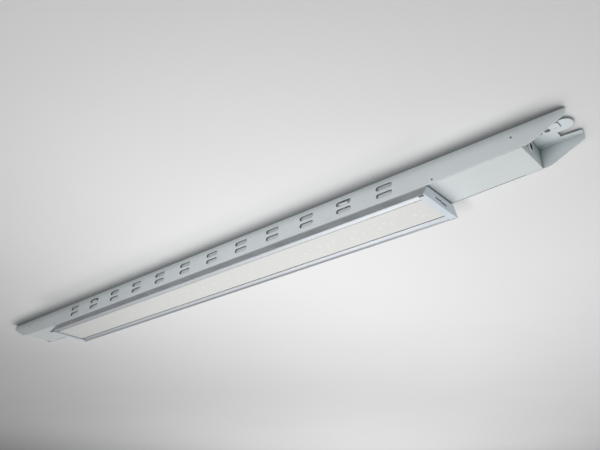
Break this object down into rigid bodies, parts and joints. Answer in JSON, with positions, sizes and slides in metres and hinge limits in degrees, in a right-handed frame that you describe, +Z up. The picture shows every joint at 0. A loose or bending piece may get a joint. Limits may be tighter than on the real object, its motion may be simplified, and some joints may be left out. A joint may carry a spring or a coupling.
{
  "type": "linear trunking luminaire",
  "caption": "Linear LED ceiling luminaire: slotted trunking rail with beak ends, blank end covers and a flared lamp with a flush lens panel, wired through from end to end.",
  "frame": {"origin": "centre of the rail's ceiling face", "axes": "+X along the rail towards the socket end, +Z up into the ceiling, light leaves towards -Z"},
  "size_m": [1.816, 0.1228, 0.0766],
  "materials": {
    "rail_paint": "satin pale grey powder coat",
    "cover_paint": "satin white powder coat",
    "tray_paint": "satin white powder coat",
    "lamp_aluminium": "satin coated extrusion",
    "cap_plastic": "satin moulded",
    "lens_clear": "frosted clear acrylic",
    "optic_clear": "moulded clear acrylic",
    "board_white": "white solder mask on an aluminium core",
    "chip_phosphor": "phosphor",
    "connector_white": "moulded",
    "screw_steel": "zinc plated",
    "driver_case": "moulded case",
    "terminal_plastic": "moulded",
    "port_plastic": "moulded",
    "insert_black": "moulded",
    "contact_brass": "plain",
    "cable_sheath": "grey sheath",
    "lead_red": "insulated lead",
    "lead_earth": "green and yellow lead",
    "clip_plastic": "moulded",
    "grommet_rubber": "moulded",
    "spring_steel": "spring strip",
    "rivet_aluminium": "plain"
  },
  "bodies": {
    "root": {"blank_cover_left": "cover_paint", "blank_cover_right": "cover_paint", "board_connectors": "connector_white", "board_screws": "screw_steel", "cable_clips": "clip_plastic", "cable_grommets": "grommet_rubber", "driver_leads": "lead_red", "driver_screws": "screw_steel", "driver_terminals": "terminal_plastic", "earth_lead": "lead_earth", "earth_lug": "contact_brass", "earth_nut": "contact_brass", "earth_stud": "screw_steel", "end_cap_left": "cap_plastic", "end_cap_right": "cap_plastic", "gear_tray": "tray_paint", "lamp_body": "lamp_aluminium", "lamp_screws": "screw_steel", "latch_rivets": "rivet_aluminium", "latch_springs": "spring_steel", "led_board_1": "board_white", "led_board_2": "board_white", "led_board_3": "board_white", "led_board_4": "board_white", "led_chips": "chip_phosphor", "led_driver_left": "driver_case", "led_driver_right": "driver_case", "led_leads": "lead_red", "lens_panel": "lens_clear", "lens_strip_1": "optic_clear", "lens_strip_2": "optic_clear", "lens_strip_3": "optic_clear", "lens_strip_4": "optic_clear", "plug_insert": "insert_black", "plug_pins": "contact_brass", "socket_contacts": "contact_brass", "socket_insert": "insert_black", "supply_cable_left": "cable_sheath", "supply_cable_right": "cable_sheath", "terminal_block": "connector_white", "terminal_screws": "screw_steel", "trunking_rail": "rail_paint", "wiring_plug": "port_plastic", "wiring_socket": "port_plastic"}
  },
  "joints": []
}
